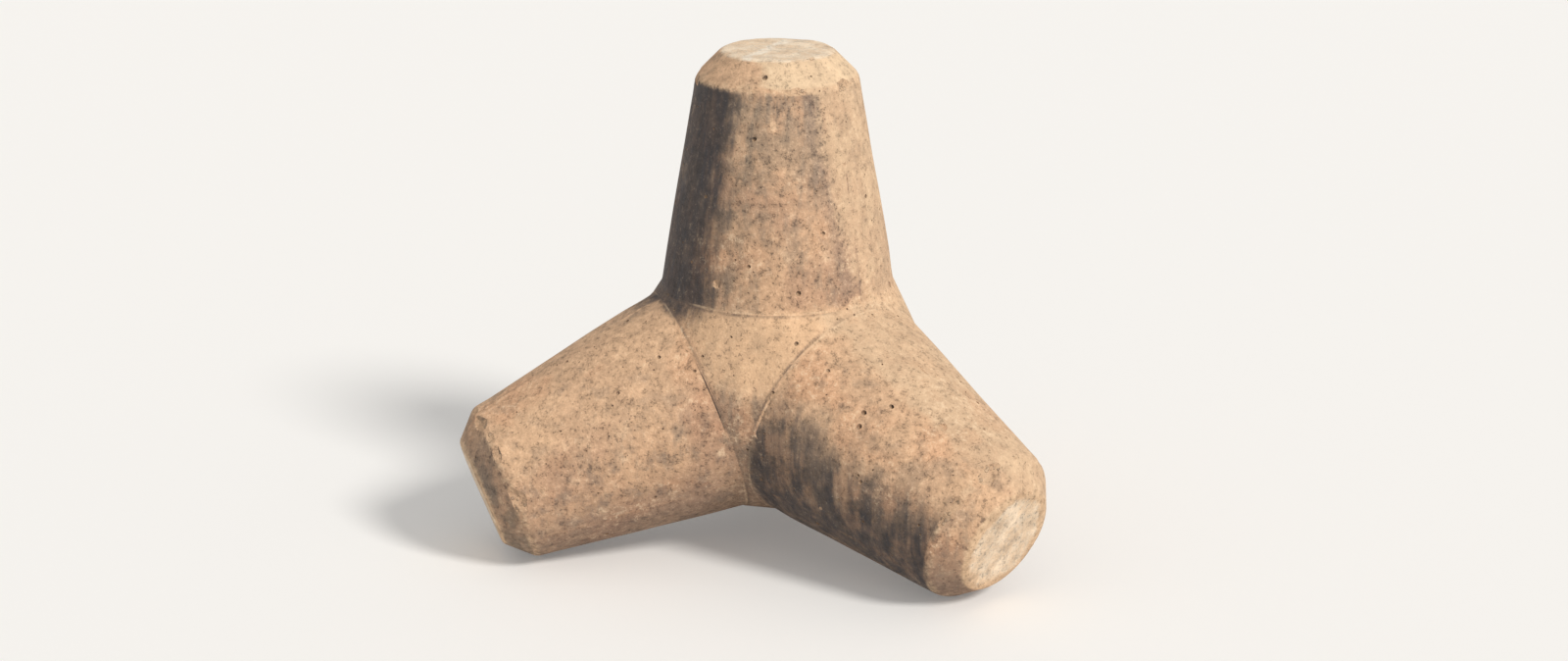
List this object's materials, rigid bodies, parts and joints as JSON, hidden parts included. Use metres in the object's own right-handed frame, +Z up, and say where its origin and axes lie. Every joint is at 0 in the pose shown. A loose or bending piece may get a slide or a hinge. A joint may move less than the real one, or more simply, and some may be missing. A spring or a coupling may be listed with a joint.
{
  "type": "concrete tetrapod",
  "caption": "Solid cast concrete armour unit: equal conical legs with chamfered flat ends, joined in a convex hub, for breakwaters.",
  "frame": {"origin": "where the four leg axes meet, which is the centre of mass; the floor is 0.784 m below", "axes": "+Z up along the upright leg; +Y towards the low leg at the back; the other two low legs point to the front left and front right"},
  "size_m": [2.649, 2.3943, 2.2332],
  "materials": {
    "concrete": "weathered cast concrete, matt, sandy, stained and chipped"
  },
  "bodies": {
    "root": {"tetrapod": "concrete"}
  },
  "joints": []
}
